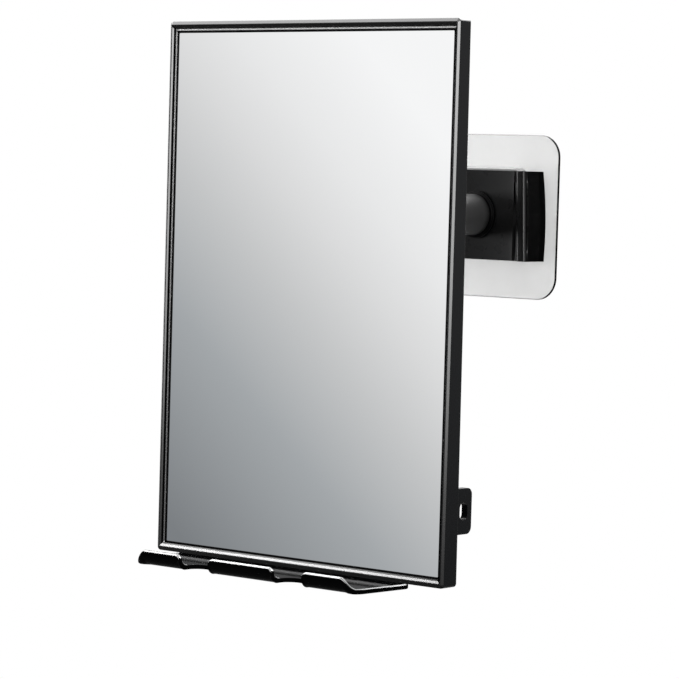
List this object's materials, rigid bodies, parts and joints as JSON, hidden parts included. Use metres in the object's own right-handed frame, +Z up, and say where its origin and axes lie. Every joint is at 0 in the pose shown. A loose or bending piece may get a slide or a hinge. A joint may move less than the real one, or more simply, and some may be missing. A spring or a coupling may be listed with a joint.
{
  "type": "shower shaving mirror",
  "caption": "Rectangular shaving mirror with a front razor tray, on a ball-jointed arm that hooks onto an adhesive wall pad.",
  "frame": {"origin": "centre of the adhesive face that sticks to the wall", "axes": "+Z up, the mirror faces -Y, so +Y points into the wall"},
  "size_m": [0.1722, 0.1829, 0.2533],
  "materials": {
    "gloss_black": "gloss black moulded plastic",
    "clear_plastic": "clear moulded plastic",
    "adhesive": "clear adhesive gel",
    "mirror_silver": "silvered flat mirror",
    "foam_backing": "dark grey foam",
    "screw_steel": "plain stainless steel",
    "insert_brass": "turned brass",
    "seat_nylon": "natural nylon"
  },
  "bodies": {
    "pad": {"wall_adhesive": "adhesive", "wall_pad": "clear_plastic", "pad_ring": "clear_plastic"},
    "arm": {"wall_bracket": "gloss_black", "arm_tube": "gloss_black", "arm_insert": "insert_brass", "arm_screw": "screw_steel", "arm_washer": "screw_steel", "ball_stud": "screw_steel", "stud_pin": "screw_steel"},
    "pan_seat": {"front_seat": "seat_nylon"},
    "tilt_seat": {"rear_seat": "seat_nylon"},
    "mirror": {"ball_housing": "gloss_black", "joint_screw_1": "screw_steel", "joint_screw_2": "screw_steel", "joint_screw_3": "screw_steel", "joint_screw_4": "screw_steel", "front_frame": "gloss_black", "back_cover": "gloss_black", "mirror_glass": "mirror_silver", "glass_backing": "foam_backing", "razor_tray": "gloss_black", "tray_screw_1": "screw_steel", "tray_screw_2": "screw_steel", "side_loop": "gloss_black", "loop_screw": "screw_steel"},
    "collar": {"locking_collar": "gloss_black"}
  },
  "joints": [
    {"name": "bracket_lift", "type": "slide", "parent": "pad", "child": "arm", "axis": [0, 0, 1], "range_m": [0, 0.043]},
    {"name": "mirror_pan", "type": "hinge", "parent": "arm", "child": "pan_seat", "pos_m": [0, -0.12194, 0.0005], "axis": [0, 0, 1], "range_deg": [-22, 22]},
    {"name": "mirror_tilt", "type": "hinge", "parent": "pan_seat", "child": "tilt_seat", "pos_m": [0, -0.12194, 0.0005], "axis": [1, 0, 0], "range_deg": [-22, 22]},
    {"name": "mirror_spin", "type": "hinge", "parent": "tilt_seat", "child": "mirror", "pos_m": [0, -0.12194, 0.0005], "axis": [0, 1, 0], "continuous": true},
    {"name": "collar_turn", "type": "hinge", "parent": "mirror", "child": "collar", "pos_m": [0, -0.12194, 0.0005], "axis": [0, 1, 0], "range_deg": [0, 90]}
  ]
}
